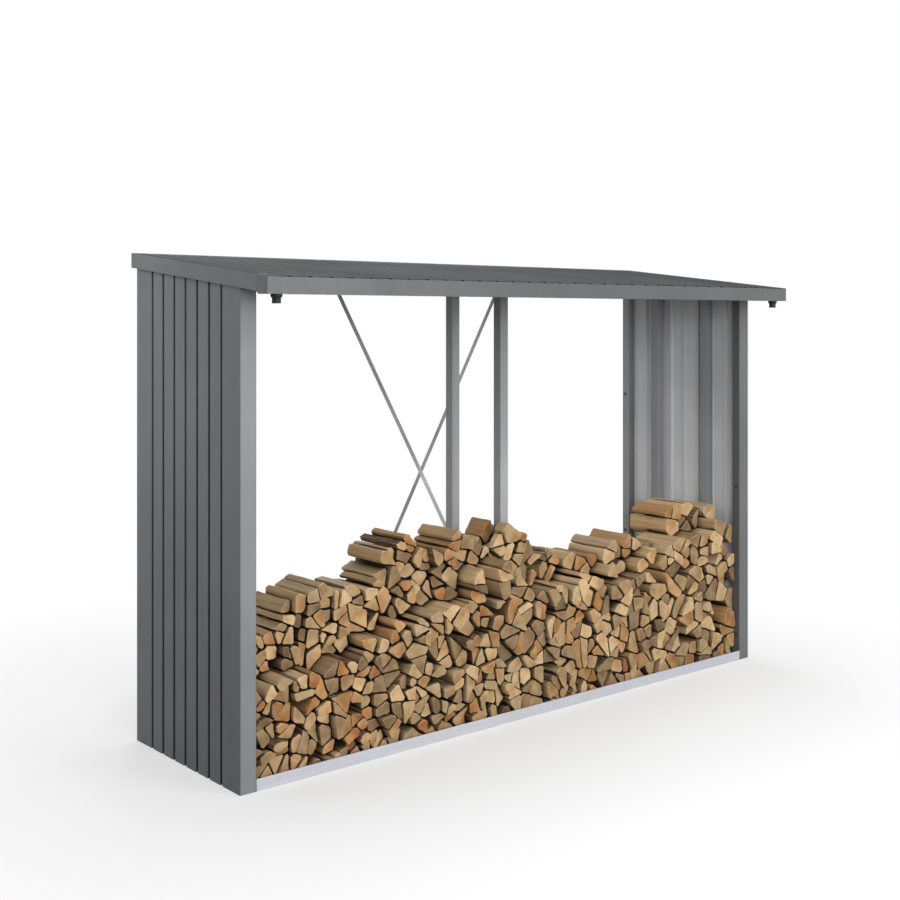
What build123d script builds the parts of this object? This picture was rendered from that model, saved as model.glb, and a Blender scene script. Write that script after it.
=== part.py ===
# Open-fronted lean-to log store of folded sheet steel, with its two rows of firewood.
# Millimetres. X runs along the store, -Y is the open front, +Z is up.
# The origin is on the ground, under the middle of the roof.
from build123d import *
import math
import os
import random

# Overall sizes
wall_span = 2970.0
wall_depth = 810.0
roof_rear_height = 1990.0
roof_fall = 118.0
front_overhang = 216.0
rear_overhang = 10.0
side_overhang = 20.0

# Pressed sheet of the walls and the roof
sheet = 1.0
groove_pitch = 90.0
groove_mouth = 17.0
groove_floor = 10.0
groove_depth = 13.0
groove_margin = 100.0

# Folded frame profiles
fold = 1.5
fold_radius = 3.5
front_post_width = 68.0
post_width = 45.0
post_lip = 14.0
rail_thickness = 2.0
rail_height = 45.0
rail_flange = 28.0
top_flange = 18.0
front_beam_height = 60.0
rear_beam_height = 60.0
purlin_height = 45.0
front_post_place = 212.0
rear_post_place = 546.0

# Cross of flat strips in the open back
brace_width = 19.0
brace_thickness = 2.0
brace_spread = 1084.0

# Roof edge trims and gutter
trim = 1.2
trim_height = 60.0
trim_flange = 42.0
gutter_wall = 1.2
gutter_height = 60.5
gutter_drop = 2.5
gutter_rise = 12.0
gutter_rise_run = 14.0
gutter_width = 75.0
gutter_lip = 9.0
gutter_joint_place = -52.0
roof_drip = 30.0
cap_thickness = 1.5

# Rain outlets under the gutter
outlet_inset = 40.0
outlet_bore = 26.0
outlet_pipe = 32.0
outlet_flange = 43.0
outlet_flange_height = 7.0
outlet_taper_height = 8.0
outlet_length = 33.0

# Split firewood
log_pitch = 128.0
log_scatter = 36.0
log_set_back = 120.0
log_gap = 0.4
shortest_log = 80.0
smallest_end = 900.0
round_sides = 8
spare_courses = 3
front_row_clear = 10.0
rear_row_clear = 64.0
row_gap = 4.0
jitter_share = 0.28
weight_share = 0.16
reach_share = 1.0
neighbour_share = 3.0
first_split_share = 0.86
second_split_share = 0.35
off_centre_share = 0.14
crest_share = 0.05
chip_share = 0.06
chip_edge_share = 0.28
end_depth_shares = (0.0, 0.35, 0.65, 1.0)
front_crest_shares = (0.33, 0.34, 0.37, 0.4, 0.44, 0.45, 0.41, 0.38, 0.37, 0.37, 0.38, 0.41, 0.41)
front_step_shares = (0.2, 0.22, 0.23, 0.26, 0.29, 0.32, 0.32, 0.29, 0.3, 0.31, 0.33, 0.35, 0.37)
rear_crest_shares = (0.26, 0.26, 0.27, 0.3, 0.33, 0.36, 0.38, 0.35, 0.31, 0.31, 0.3, 0.31, 0.31)
front_row_seed = 11
rear_row_seed = 29

# Clearance where one piece lies against another, and the overrun of cuts
seat = 0.3
overrun = 10.0

# Worked-out places
half_span = wall_span / 2
half_roof = half_span + side_overhang
roof_depth = wall_depth + front_overhang + rear_overhang
y_gutter = -roof_depth / 2
y_front = y_gutter + front_overhang
y_back = y_front + wall_depth
y_rear = roof_depth / 2
y_gutter_back = y_gutter + gutter_width
y_rail_back = y_back - 2 * brace_thickness
roof_slope = roof_fall / roof_depth
roof_length = math.hypot(roof_depth, roof_fall)
level_share = roof_length / roof_depth
sheet_depth = groove_depth + sheet
wall_inside = half_span - sheet_depth
post_outside = wall_inside - rail_thickness
front_post_inside = half_span - sheet - front_post_width
rear_post_inside = half_span - sheet - post_width
gutter_top = roof_rear_height - roof_fall - gutter_drop
gutter_bottom = gutter_top - gutter_height
gutter_half = half_roof - cap_thickness
post_rows = {"front": y_front + front_post_place, "rear": y_front + rear_post_place}
sides = {"left": -1, "right": 1}

os.makedirs("parts", exist_ok=True)


def keep(builder, label):
    """Labels a finished piece and writes it."""
    builder.part.label = label
    export_step(builder.part, f"parts/{label}.step")


def roof_top(y):
    """Height of the roof's upper surface at a place along its depth."""
    return roof_rear_height - (y_rear - y) * roof_slope


def under_roof(y):
    """Height just under the roof sheet's grooves."""
    return roof_top(y) - (trim + sheet_depth) * level_share - seat


def groove_places(length):
    """Places of the grooves that fit along a sheet, counted from its middle."""
    count = 1 + int((length - 2 * groove_margin) // groove_pitch)
    return [(i - (count - 1) / 2) * groove_pitch for i in range(count)]


def pressed_outline(start, end, grooves):
    """Section of a pressed sheet: along it, and out from its outer face."""
    run = (groove_mouth - groove_floor) / 2
    lean = sheet * (math.hypot(run, groove_depth) - run) / groove_depth
    outer = [(start, 0)]
    inner = [(start, -sheet)]
    for place in grooves:
        for hand, first, second in ((-1, groove_mouth, groove_floor), (1, groove_floor, groove_mouth)):
            for width in (first, second):
                drop = -groove_depth if width == groove_floor else 0
                edge = place + hand * width / 2
                outer.append((edge, drop))
                inner.append((edge + hand * lean, drop - sheet))
    outer.append((end, 0))
    inner.append((end, -sheet))
    return outer + inner[::-1]


def lipped_channel(width, depth):
    """Section of a folded channel: across its web, and back from it."""
    inner = width - fold
    back = depth - fold
    near_side = [(fold, fold), (fold, back), (post_lip, back), (post_lip, depth), (0, depth), (0, 0)]
    far_side = [(width, 0), (width, depth), (width - post_lip, depth), (width - post_lip, back)]
    return near_side + far_side + [(inner, back), (inner, fold)]


def angle_section(height, flange, thickness):
    """Section of an angle: along its lower flange, and up its standing leg."""
    corner = (thickness, thickness)
    return [(0, 0), (flange, 0), (flange, thickness), corner, (thickness, height), (0, height)]


# Side walls, pressed sheets from the ground to the roof
for side, sign in sides.items():
    section = pressed_outline(-wall_depth / 2, wall_depth / 2, groove_places(wall_depth))
    with BuildPart() as wall:
        with BuildSketch(Plane.XY):
            y_middle = y_front + wall_depth / 2
            Polygon(*[(sign * (half_span + out), y_middle + along) for along, out in section])
        extrude(amount=roof_rear_height)
        roof_underside = Plane(
            origin=(0, y_rear, roof_rear_height - (trim + sheet) * level_share - seat),
            x_dir=(1, 0, 0),
            z_dir=(0, -roof_fall, roof_depth),
        )
        split(bisect_by=roof_underside, keep=Keep.BOTTOM)
    keep(wall, f"{side}_wall")

# Corner posts at the ends of the walls: lipped channels in front, square tubes behind
for side, sign in sides.items():
    x_outside = sign * (half_span - sheet)
    with BuildPart() as front_corner:
        with BuildSketch(Plane.XY):
            section = lipped_channel(front_post_width, post_width)
            Polygon(*[(x_outside - sign * across, y_front + back) for across, back in section])
            fillet(vertices().group_by(Axis.Y)[1], radius=fold_radius - fold)
            fillet(vertices().group_by(Axis.Y)[0], radius=fold_radius)
        extrude(amount=under_roof(y_front))
    keep(front_corner, f"front_{side}_corner_post")
    with BuildPart() as rear_corner:
        with BuildSketch(Plane.XY):
            with Locations((x_outside - sign * post_width / 2, y_back - post_width / 2)):
                Rectangle(post_width, post_width)
                Rectangle(post_width - 2 * fold, post_width - 2 * fold, mode=Mode.SUBTRACT)
        extrude(amount=under_roof(y_back - post_width))
    keep(rear_corner, f"rear_{side}_corner_post")

# Rails round the ground and along the wall tops
y_rails = (y_front + post_width, y_back - post_width)
for side, sign in sides.items():
    with BuildPart() as base_rail:
        with BuildSketch(Plane.XZ.offset(-y_rails[1])):
            section = angle_section(rail_height, rail_flange, rail_thickness)
            Polygon(*[(sign * (wall_inside - across), up) for across, up in section])
        extrude(amount=y_rails[1] - y_rails[0])
    keep(base_rail, f"{side}_base_rail")
    with BuildPart() as top_rail:
        with BuildSketch(Plane.YZ.offset(sign * wall_inside)):
            heads = [(y, under_roof(y)) for y in y_rails]
            Polygon(*(heads + [(y, z - rail_height) for y, z in heads[::-1]]))
        extrude(amount=-sign * rail_thickness)
        with BuildSketch(Plane.YZ.offset(sign * wall_inside)):
            Polygon(*(heads + [(y, z - rail_thickness) for y, z in heads[::-1]]))
        extrude(amount=-sign * top_flange)
    keep(top_rail, f"{side}_top_rail")

with BuildPart() as front_sill:
    with BuildSketch(Plane.YZ.offset(-front_post_inside)):
        section = angle_section(rail_height, rail_flange, rail_thickness)
        Polygon(*[(y_front + across, up) for across, up in section])
    extrude(amount=2 * front_post_inside)
keep(front_sill, "front_sill")

with BuildPart() as rear_base_rail:
    with BuildSketch(Plane.YZ.offset(-rear_post_inside)):
        section = angle_section(rail_height, rail_flange, rail_thickness)
        Polygon(*[(y_rail_back - across, up) for across, up in section])
    extrude(amount=2 * rear_post_inside)
keep(rear_base_rail, "rear_base_rail")

y_middle_rail = (y_front + rail_flange, y_rail_back - rail_flange)
with BuildPart() as middle_base_rail:
    with BuildSketch(Plane.XY):
        with Locations((0, sum(y_middle_rail) / 2)):
            Rectangle(post_width, y_middle_rail[1] - y_middle_rail[0])
    extrude(amount=rail_thickness)
keep(middle_base_rail, "middle_base_rail")

# Beams across the open front and back
z_front_beam = under_roof(y_front) - front_beam_height
with BuildPart() as front_beam:
    with BuildSketch(Plane.YZ.offset(-front_post_inside)):
        section = lipped_channel(front_beam_height, post_width)
        Polygon(*[(y_front + back, z_front_beam + up) for up, back in section])
    extrude(amount=2 * front_post_inside)
keep(front_beam, "front_top_beam")

z_rear_beam = under_roof(y_rail_back - rail_flange) - rear_beam_height
with BuildPart() as rear_beam:
    with BuildSketch(Plane.YZ.offset(-rear_post_inside)):
        section = angle_section(rear_beam_height, rail_flange, rail_thickness)
        Polygon(*[(y_rail_back - across, z_rear_beam + up) for across, up in section])
    extrude(amount=2 * rear_post_inside)
keep(rear_beam, "rear_top_beam")

# Square posts in three frames, and the purlins that they carry
post_lines = {
    "left": -post_outside + post_width / 2,
    "middle": 0,
    "right": post_outside - post_width / 2,
}
for row, y_face in post_rows.items():
    z_purlin = under_roof(y_face) - purlin_height
    for line, x_post in post_lines.items():
        with BuildPart() as post:
            with BuildSketch(Plane.XY.offset(rail_thickness)):
                with Locations((x_post, y_face + post_width / 2)):
                    Rectangle(post_width, post_width)
                    Rectangle(post_width - 2 * fold, post_width - 2 * fold, mode=Mode.SUBTRACT)
            extrude(amount=z_purlin - rail_thickness)
        keep(post, f"{row}_{line}_post")

    half_purlin = wall_inside - top_flange - seat
    y_outer = (y_face, y_face + post_width)
    y_inner = (y_face + fold, y_face + post_width - fold)
    with BuildPart() as purlin:
        with BuildSketch(Plane.YZ.offset(-half_purlin)):
            Polygon(*[(y, z_purlin) for y in y_outer] + [(y, under_roof(y)) for y in y_outer[::-1]])
            hollow = [(y, z_purlin + fold) for y in y_inner]
            hollow += [(y, under_roof(y) - fold) for y in y_inner[::-1]]
            Polygon(*hollow, mode=Mode.SUBTRACT)
        extrude(amount=2 * half_purlin)
    keep(purlin, f"{row}_purlin")

# Crossed strips behind the rear rail and the rear beam, the falling one in front
brace_rise = z_rear_beam + rear_beam_height / 2 - rail_height / 2
brace_middle = (z_rear_beam + rear_beam_height / 2 + rail_height / 2) / 2
brace_angle = math.degrees(math.atan2(brace_rise, brace_spread))
brace_length = math.hypot(brace_rise, brace_spread) + brace_width
for strip, hand, layer in (("falling", -1, 1), ("rising", 1, 2)):
    with BuildPart() as brace:
        with BuildSketch(Plane.XZ.offset(-y_rail_back - layer * brace_thickness)):
            with Locations((0, brace_middle)):
                SlotOverall(brace_length, brace_width, rotation=hand * brace_angle)
        extrude(amount=brace_thickness)
    keep(brace, f"{strip}_brace")

# Roof sheets, pressed front to back, laid on the slope from the rear edge down
roof_frame = Plane(
    origin=(0, y_rear, roof_rear_height),
    x_dir=(1, 0, 0),
    z_dir=(0, -roof_depth, -roof_fall),
)
sheet_start = (trim + seat) * level_share + sheet_depth * roof_slope
half_sheet = half_roof - cap_thickness - seat
roof_grooves = groove_places(2 * half_sheet)
sheet_ends = {"left": (-half_sheet, -seat / 2), "right": (seat / 2, half_sheet)}
for side, (x_start, x_end) in sheet_ends.items():
    with BuildPart() as roof_sheet:
        with BuildSketch(roof_frame.offset(sheet_start)):
            section = pressed_outline(x_start, x_end, [x for x in roof_grooves if x_start < x < x_end])
            Polygon(*[(along, out - trim) for along, out in section])
        extrude(amount=roof_length - roof_drip - sheet_start)
    keep(roof_sheet, f"{side}_roof_sheet")

# Roof edge trims: the side trims stop at the gutter, the rear one lies between them
y_trim_flange = y_rear - trim_flange
for side, sign in sides.items():
    with BuildPart() as side_trim:
        with BuildSketch(Plane.YZ.offset(sign * half_roof)):
            heads = [(y_gutter_back, roof_top(y_gutter_back)), (y_rear, roof_top(y_rear))]
            Polygon(*(heads + [(y, z - trim_height) for y, z in heads[::-1]]))
        extrude(amount=-sign * trim)
        with BuildSketch(Plane.YZ.offset(sign * half_roof)):
            heads = [(y, roof_top(y)) for y in (y_gutter_back, y_trim_flange - seat)]
            Polygon(*(heads + [(y, z - trim) for y, z in heads[::-1]]))
        extrude(amount=-sign * trim_flange)
    keep(side_trim, f"{side}_roof_trim")

half_rear_trim = half_roof - trim - seat
with BuildPart() as rear_trim:
    with BuildSketch(Plane.YZ.offset(-half_rear_trim)):
        heads = [(y, roof_top(y)) for y in (y_trim_flange, y_rear)]
        foot = [(y, roof_rear_height - trim_height) for y in (y_rear, y_rear - trim)]
        inner = [(y, roof_top(y) - trim) for y in (y_rear - trim, y_trim_flange)]
        Polygon(*(heads + foot + inner))
    extrude(amount=2 * half_rear_trim)
keep(rear_trim, "rear_roof_trim")

# Gutter in two lengths, a trough with a lip folded in along its front and a rising bottom behind
gutter_back_top = under_roof(y_gutter_back - gutter_wall)
gutter_turn = math.atan2(gutter_rise, gutter_rise_run)
y_rise = y_gutter_back - gutter_rise_run
y_inner_rise = y_rise - gutter_wall * math.tan(gutter_turn / 2)
y_trough = (y_gutter + gutter_wall, y_gutter_back - gutter_wall)
z_trough = gutter_bottom + gutter_wall
y_outlet = (y_gutter + y_gutter_back) / 2
x_outlet = half_span - outlet_inset
gutter_section = [
    (y_gutter, gutter_bottom),
    (y_rise, gutter_bottom),
    (y_gutter_back, gutter_bottom + gutter_rise),
    (y_gutter_back, gutter_back_top),
    (y_trough[1], gutter_back_top),
    (y_trough[1], z_trough + (y_trough[1] - y_inner_rise) * math.tan(gutter_turn)),
    (y_inner_rise, z_trough),
    (y_trough[0], z_trough),
    (y_trough[0], gutter_top - gutter_wall),
    (y_gutter + gutter_lip, gutter_top - gutter_wall),
    (y_gutter + gutter_lip, gutter_top),
    (y_gutter, gutter_top),
]
gutter_ends = {
    "left": (-gutter_half, gutter_joint_place - seat / 2),
    "right": (gutter_joint_place + seat / 2, gutter_half),
}
for side, (x_start, x_end) in gutter_ends.items():
    with BuildPart() as gutter:
        with BuildSketch(Plane.YZ.offset(x_start)):
            Polygon(*gutter_section)
        extrude(amount=x_end - x_start)
        with BuildSketch(Plane.XY.offset(gutter_bottom - overrun)):
            with Locations((sides[side] * x_outlet, y_outlet)):
                Circle(outlet_bore / 2)
        extrude(amount=overrun + gutter_wall + seat, mode=Mode.SUBTRACT)
    keep(gutter, f"{side}_gutter")

# Gutter end caps, shaped as the gutter below and as the roof above
for side, sign in sides.items():
    with BuildPart() as end_cap:
        with BuildSketch(Plane.YZ.offset(sign * half_roof)):
            heads = [(y, roof_top(y)) for y in (y_gutter_back, y_gutter)]
            Polygon(*gutter_section[:3], *heads)
        extrude(amount=-sign * cap_thickness)
    keep(end_cap, f"{side}_gutter_end_cap")

# Rain outlets, flanged stubs that taper to a pipe end
z_taper = -outlet_flange_height - outlet_taper_height
for side, sign in sides.items():
    with BuildPart() as outlet:
        outlet_top = (sign * x_outlet, y_outlet, gutter_bottom)
        with BuildSketch(Plane(outlet_top, x_dir=(1, 0, 0), z_dir=(0, -1, 0))):
            Polygon(
                (outlet_bore / 2, 0),
                (outlet_flange / 2, 0),
                (outlet_flange / 2, -outlet_flange_height),
                (outlet_pipe / 2, z_taper),
                (outlet_pipe / 2, -outlet_length),
                (outlet_bore / 2, -outlet_length),
            )
        revolve(axis=Axis(outlet_top, (0, 0, 1)))
    keep(outlet, f"{side}_gutter_outlet")

# Firewood: each row is a wall of log ends packed side by side up to a sloping crest, and the upper
# logs of the front row stand further back than the lower ones
stack_half = front_post_inside - seat
stack_base = rail_thickness + seat
log_length = (wall_depth - front_row_clear - row_gap - rear_row_clear - log_set_back) / 2 - log_scatter
y_front_row = y_front + front_row_clear
y_rear_row = y_back - rear_row_clear - log_scatter - log_length


def crest(shares, x):
    """Height of a row's crest at a place along the store."""
    place = (x + stack_half) / (2 * stack_half) * (len(shares) - 1)
    low = min(int(place), len(shares) - 2)
    part = place - low
    return gutter_bottom * (shares[low] * (1 - part) + shares[low + 1] * part)


def trimmed(points, normal, limit):
    """The part of a convex outline where the normal's measure stays within the limit."""
    kept = []
    for a, b in zip(points, points[1:] + points[:1]):
        over_a = a[0] * normal[0] + a[1] * normal[1] - limit
        over_b = b[0] * normal[0] + b[1] * normal[1] - limit
        if over_a <= 0:
            kept.append(a)
        if over_a * over_b < 0:
            part = over_a / (over_a - over_b)
            kept.append((a[0] + (b[0] - a[0]) * part, a[1] + (b[1] - a[1]) * part))
    return kept


def chipped(points, draw):
    """Knocks off some corners of an outline and keeps the middle of every edge."""
    kept = []
    for before, corner, after in zip(points[-1:] + points[:-1], points, points[1:] + points[:1]):
        if draw.random() < chip_share:
            for other in (before, after):
                kept.append(tuple(c + (o - c) * chip_edge_share for c, o in zip(corner, other)))
        else:
            kept.append(corner)
    return kept


def end_area(points):
    """Area of an outline."""
    pairs = zip(points, points[1:] + points[:1])
    return abs(sum(a[0] * b[1] - a[1] * b[0] for a, b in pairs)) / 2


def middle_of(points):
    """Mean of an outline's corners."""
    return sum(p[0] for p in points) / len(points), sum(p[1] for p in points) / len(points)


def cloven(points, turn, offset):
    """The two halves of an outline that is split through its middle, a gap apart."""
    x, z = middle_of(points)
    normal = (math.cos(turn), math.sin(turn))
    aim = normal[0] * x + normal[1] * z + offset
    far_side = (-normal[0], -normal[1])
    return [trimmed(points, normal, aim - log_gap / 2), trimmed(points, far_side, -aim - log_gap / 2)]


def log_seeds(shares, draw):
    """Rounds that a row is split from: their middles, weights, and if they lie below the crest."""
    columns = int(2 * stack_half // log_pitch)
    step = 2 * stack_half / columns
    seeds = []
    for course in range(int(max(shares) * gutter_bottom // log_pitch) + spare_courses):
        for column in range(columns + 1):
            x = -stack_half + (column + course % 2 / 2) * step + draw.uniform(-1, 1) * jitter_share * step
            z = stack_base + (course + 1 / 2) * log_pitch + draw.uniform(-1, 1) * jitter_share * log_pitch
            weight = draw.uniform(-1, 1) * weight_share * log_pitch**2
            if abs(x) < stack_half:
                seeds.append((x, z, weight, z + crest_share * log_pitch < crest(shares, x)))
    return seeds


def round_end(seeds, x, z, weight):
    """Outline of one round: what lies nearer to it than to its neighbours."""
    reach = reach_share * log_pitch
    turns = [i * math.tau / round_sides for i in range(round_sides)]
    cell = [(x + reach * math.cos(turn), z + reach * math.sin(turn)) for turn in turns]
    cell = trimmed(cell, (0, -1), -stack_base)
    cell = trimmed(cell, (1, 0), stack_half)
    cell = trimmed(cell, (-1, 0), stack_half)
    for other_x, other_z, other_weight, _ in seeds:
        away = math.hypot(other_x - x, other_z - z)
        if 0 < away < neighbour_share * log_pitch:
            normal = ((other_x - x) / away, (other_z - z) / away)
            limit = (away + (weight - other_weight) / away - log_gap) / 2
            cell = trimmed(cell, normal, normal[0] * x + normal[1] * z + limit)
    return cell


def log_ends(shares, step_shares, set_back, seed):
    """Outlines of the log ends of one row, most of them split, and how far back each lies."""
    draw = random.Random(seed)
    seeds = log_seeds(shares, draw)
    ends = []
    for x, z, weight, below_crest in seeds:
        if not below_crest:
            continue
        pieces = [round_end(seeds, x, z, weight)]
        turn = draw.uniform(0, math.pi)
        for split_share, quarter in ((first_split_share, 0), (second_split_share, 1)):
            if draw.random() < split_share:
                largest = max(pieces, key=end_area)
                pieces.remove(largest)
                offset = draw.uniform(-1, 1) * off_centre_share * log_pitch
                pieces += cloven(largest, turn + quarter * math.pi / 2, offset)
        for piece in pieces:
            depth = draw.choice(end_depth_shares) * log_scatter
            if len(piece) > 2 and end_area(piece) > smallest_end:
                piece_x, piece_z = middle_of(piece)
                if piece_z > crest(step_shares, piece_x):
                    depth += set_back
                ends.append((chipped(piece, draw), depth))
    return ends


def log_stretches(points, y_row, start, y_post):
    """Where along the depth a log lies: whole, or before and behind the middle post."""
    end = start + log_length
    clear = post_width / 2 + seat
    if min(p[0] for p in points) > clear or max(p[0] for p in points) < -clear:
        return [(start, end)]
    stub_end = y_post - seat
    stub_start = max(y_row, min(start, stub_end - shortest_log - seat))
    parts = [(stub_start, stub_end), (y_post + post_width + seat, end)]
    return [(a, b) for a, b in parts if b - a > shortest_log]


front_log_ends = log_ends(front_crest_shares, front_step_shares, log_set_back, front_row_seed)
rear_log_ends = log_ends(rear_crest_shares, rear_crest_shares, 0, rear_row_seed)
log_rows = {
    "front": (y_front_row, front_log_ends, post_rows["front"]),
    "rear": (y_rear_row, rear_log_ends, post_rows["rear"]),
}
for row, (y_row, ends, y_post) in log_rows.items():
    for side, sign in sides.items():
        bundles = {}
        for points, depth in ends:
            if middle_of(points)[0] * sign > 0:
                for stretch in log_stretches(points, y_row, y_row + depth, y_post):
                    bundles.setdefault(stretch, []).append(points)
        with BuildPart() as logs:
            stacks = []
            for (y_start, y_end), group in bundles.items():
                with BuildSketch(Plane.XZ.offset(-y_end), mode=Mode.PRIVATE) as log_faces:
                    add([Polygon(*points, mode=Mode.PRIVATE) for points in group])
                stacks.append(extrude(log_faces.sketch, amount=y_end - y_start, mode=Mode.PRIVATE))
            add(stacks)
        keep(logs, f"{row}_{side}_logs")
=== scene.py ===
import math
import random

import bmesh
import bpy
from mathutils import Matrix, Vector


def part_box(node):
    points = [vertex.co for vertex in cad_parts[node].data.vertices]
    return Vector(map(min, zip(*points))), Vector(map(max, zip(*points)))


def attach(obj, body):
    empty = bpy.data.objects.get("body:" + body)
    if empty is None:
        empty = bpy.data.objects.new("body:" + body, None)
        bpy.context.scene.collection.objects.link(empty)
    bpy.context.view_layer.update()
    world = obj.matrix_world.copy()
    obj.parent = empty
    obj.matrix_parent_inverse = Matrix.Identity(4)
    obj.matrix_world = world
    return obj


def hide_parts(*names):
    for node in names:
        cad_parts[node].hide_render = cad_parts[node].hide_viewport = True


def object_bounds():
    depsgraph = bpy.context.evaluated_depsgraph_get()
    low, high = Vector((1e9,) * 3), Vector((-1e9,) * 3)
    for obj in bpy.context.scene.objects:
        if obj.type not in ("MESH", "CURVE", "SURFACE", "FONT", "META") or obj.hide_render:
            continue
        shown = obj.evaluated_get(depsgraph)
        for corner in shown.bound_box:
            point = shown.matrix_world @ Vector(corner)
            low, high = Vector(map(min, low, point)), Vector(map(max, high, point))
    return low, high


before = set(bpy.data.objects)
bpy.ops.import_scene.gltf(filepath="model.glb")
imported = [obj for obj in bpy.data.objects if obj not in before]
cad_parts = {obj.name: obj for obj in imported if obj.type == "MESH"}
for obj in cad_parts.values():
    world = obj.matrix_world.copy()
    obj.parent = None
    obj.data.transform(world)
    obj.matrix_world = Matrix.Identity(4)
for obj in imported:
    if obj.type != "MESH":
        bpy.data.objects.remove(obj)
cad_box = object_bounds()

# Camera, as read from the photograph's vanishing lines, in metres and radians, with its lens in millimetres
eye = (-3.915, -4.361, 1.724)
eye_turn = -0.7001
sensor_width = 36.0
lens_length = 51.79
lens_shift = -0.1465

# Colours, red, green and blue from 0 to 255; a pair is the darker and the lighter tint of a finish
paint_tints = ((114, 115, 117), (126, 127, 129))
roof_tints = ((101, 102, 104), (113, 114, 116))
# Trim sides are tinted lighter than the wall paint as a painted sheen, and trim tops darker as painted
# shade
trim_tints = ((141, 142, 144), (155, 156, 158))
trim_top_shade_tints = ((88, 89, 91), (98, 99, 101))
frame_tints = ((126, 127, 130), (140, 141, 144))
# The gutter and its end caps are tinted darker than the posts, as painted shade
gutter_tints = ((94, 95, 96), (104, 105, 106))
# Inward faces of the corner posts: darker at the front as painted shade, lighter at the rear as painted
# light
return_tints = ((80, 81, 82), (90, 91, 92))
rear_return_light_tints = ((136, 137, 139), (148, 149, 151))
brace_tints = ((134, 135, 138), (150, 151, 154))
coat_tints = ((180, 182, 184), (198, 200, 202))
sill_tints = ((186, 187, 194), (206, 207, 213))
plastic_tints = ((11, 11, 12), (22, 22, 23))
zinc_tints = ((52, 53, 55), (92, 93, 95))
floor_tint = (240, 240, 240)
floor_bounce_tint = (150, 150, 150)
sky_tint = (251, 252, 255)
white_tint = (255, 255, 255)

# Colours of the wood, from the greyest log to the reddest
end_tints = (
    (128, 106, 78), (163, 136, 100), (186, 158, 120),
    (196, 168, 128), (181, 147, 104), (170, 124, 77),
)
heart_tints = (
    (106, 83, 58), (147, 116, 80), (178, 146, 105),
    (188, 155, 111), (166, 120, 76), (152, 91, 47),
)
# Split sides are tinted lighter than the ends, partly the paler split wood and partly painted light on the
# upward faces
split_tints = (
    (158, 134, 103), (198, 169, 127), (218, 191, 149),
    (222, 193, 149), (212, 176, 127), (190, 141, 90),
)
bark_dark_tint = (98, 78, 57)
bark_light_tint = (160, 135, 104)
crack_tint = (56, 38, 22)
# Painted shade deep in the gaps between logs
gap_shade_tint = (34, 19, 8)
log_levels = (0.72, 1.2)

# Grades of a finish along an axis: from a place, to a place in metres, and the levels there; every grade
# but even_grade is painted light and shade
even_grade = ("Z", 0.0, 2.0, 1.0, 1.0)
wall_grade = ("Z", 0.4, 1.6, 0.7, 1.06)
roof_grade = ("X", -1.5, 1.5, 1.0, 0.76)
post_grade = ("X", -1.5, 1.5, 1.09, 0.72)
frame_grade = ("Z", 0.6, 1.8, 1.22, 0.8)
front_frame_grade = ("Z", 1.0, 1.75, 1.34, 0.52)
rear_frame_grade = ("Z", 0.9, 1.6, 1.48, 0.82)
coat_grade = ("Z", 0.9, 1.8, 1.34, 0.86)
brace_glint_grade = ("Z", 0.95, 1.4, 1.65, 0.66)
trim_grade = ("Y", -0.45, 0.5, 0.84, 1.14)
left_gutter_grade = ("X", -1.5, -0.05, 0.84, 0.74)
right_gutter_grade = ("X", -0.05, 1.5, 0.74, 0.98)

# Levels of painted shade up the front posts under the eave, and of painted light and shade on a wall from
# its front to its rear
eave_shade_stretch = (1.6, 1.8, 1.0, 0.58)
wall_length_shade_levels = (0.89, 1.17)

# Levels of painted shade down in the grooves: from a depth, to a depth in metres, and the levels there
wall_groove_stretch = (0.0002, 0.0012, 1.0, 0.25)
roof_groove_stretch = (0.002, 0.008, 1.0, 0.3)
groove_side_stretch = (0.0004, 0.0012, 1.0, 0.0)
groove_end_reach = 0.04
groove_end_levels = (0.15, 1.0)

# Limits past which a face counts as turned inwards, down or up
inward_limit = -0.2
downward_limit = -0.2
upward_limit = 0.5

# Noise: a noise is a scale and a detail, and scales run along x, y and z
plain_detail = 3.0
noise_core = (0.3, 0.7)
noise_middle = 0.5

# Paint; a bump is a strength and a depth in metres
drift_scale = 2.3
flake_noise = (1500.0, 1.0)
flake_stretch = (0.35, 0.65, 0.9, 1.1)
roll_scales = (90.0, 90.0, 1.2)
roll_detail = 2.0
roll_height = 2.0
peel_noise = (420.0, 2.0)
paint_roughness = (0.4, 0.54)
paint_bump = (0.12, 0.0004)
satin_gloss = 0.3
matt_gloss = 0.0

# Bright metal
spangle_scale = 90.0
spangle_share = 0.15
draw_scales = (3.0, 700.0, 700.0)
draw_detail = 2.0
metal_stops = (0.25, 0.75)
metal_roughness = (0.34, 0.5)
metal_bump = (0.1, 0.0002)
sill_metallic = 0.35
zinc_metallic = 0.6

# Black plastic
plastic_noise = (900.0, 2.0)
plastic_cloud_scale = 40.0
plastic_roughness = (0.42, 0.62)
plastic_gloss = 0.25
plastic_bump = (0.3, 0.0003)

# Sawn ends, with reaches from the pith in metres
across_grain = (1.0, 0.0, 1.0)
tone_stride = 50.0
ring_wander_scale = 22.0
ring_wander = 0.012
ring_turns = 1650.0
ring_levels = (0.94, 1.05)
ring_height = 0.15
heart_stretch = (0.022, 0.05, 1.0, 0.0)
heart_share = 0.8
end_cloud_noise = (34.0, 4.0)
end_cloud_levels = (0.8, 1.14)
crack_turns = 5.0
crack_stride = 90.0
crack_noise = (1.6, 1.0)
crack_stretch = (0.0, 0.012, 1.0, 0.0)
crack_reach_stretch = (0.0, 0.045, 1.0, 0.0)
crack_share = 0.75
crack_depth = 2.0
saw_scales = (40.0, 0.0, 900.0)
saw_detail = 2.0
end_roughness = (0.76, 0.92)
end_gloss = 0.25
end_bump = (0.45, 0.0008)

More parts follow.
